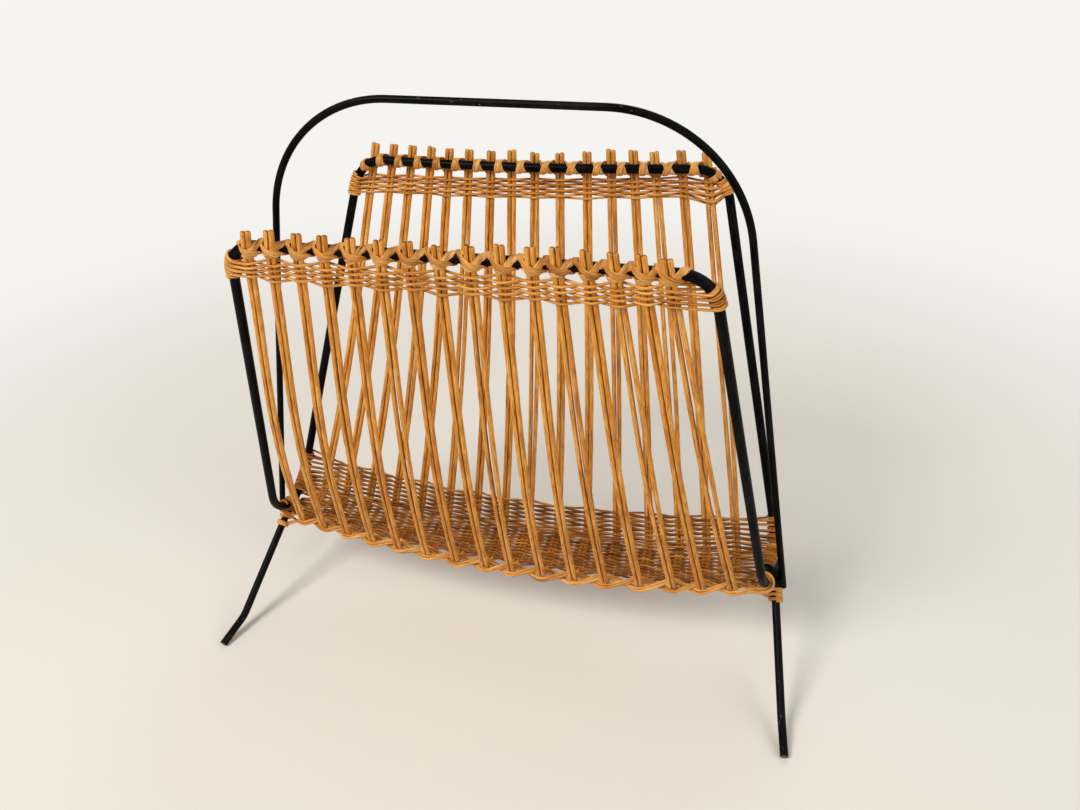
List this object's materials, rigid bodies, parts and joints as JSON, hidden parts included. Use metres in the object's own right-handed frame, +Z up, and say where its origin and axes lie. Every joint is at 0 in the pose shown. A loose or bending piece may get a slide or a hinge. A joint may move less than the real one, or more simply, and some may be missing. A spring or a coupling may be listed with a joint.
{
  "type": "magazine basket",
  "caption": "Open V-shaped magazine basket: a black steel rod frame with an arched carrying handle and splayed feet holds a trough of upright rattan canes with woven rims and floor.",
  "frame": {"origin": "on the floor under the middle of the basket, halfway between the feet", "axes": "+Z up, X along the basket's length, -Y towards the front panel, whose lower edge carries the braid"},
  "size_m": [0.4191, 0.191, 0.3887],
  "materials": {
    "painted_steel": "satin black paint",
    "round_cane": "honey coloured rattan, semi-matt",
    "split_cane": "honey coloured rattan weaving, semi-matt",
    "flat_peel": "rattan peel with a slight sheen"
  },
  "bodies": {
    "root": {"handle_hoop": "painted_steel", "front_panel_frame": "painted_steel", "back_panel_frame": "painted_steel", "left_leg": "painted_steel", "right_leg": "painted_steel", "left_weld_bead": "painted_steel", "right_weld_bead": "painted_steel", "cane_01_left": "round_cane", "cane_01_right": "round_cane", "cane_02_left": "round_cane", "cane_02_right": "round_cane", "cane_03_left": "round_cane", "cane_03_right": "round_cane", "cane_04_left": "round_cane", "cane_04_right": "round_cane", "cane_05_left": "round_cane", "cane_05_right": "round_cane", "cane_06_left": "round_cane", "cane_06_right": "round_cane", "cane_07_left": "round_cane", "cane_07_right": "round_cane", "cane_08_left": "round_cane", "cane_08_right": "round_cane", "cane_09_left": "round_cane", "cane_09_right": "round_cane", "cane_10_left": "round_cane", "cane_10_right": "round_cane", "cane_11_left": "round_cane", "cane_11_right": "round_cane", "cane_12_left": "round_cane", "cane_12_right": "round_cane", "cane_13_left": "round_cane", "cane_13_right": "round_cane", "cane_14_left": "round_cane", "cane_14_right": "round_cane", "cane_15_left": "round_cane", "cane_15_right": "round_cane", "cane_16_left": "round_cane", "cane_16_right": "round_cane", "front_rim_weave": "split_cane", "back_rim_weave": "split_cane", "floor_weave": "split_cane", "front_bottom_braid": "split_cane", "front_lashing_under": "flat_peel", "front_lashing_over": "flat_peel", "back_lashing_under": "flat_peel", "back_lashing_over": "flat_peel"}
  },
  "joints": []
}
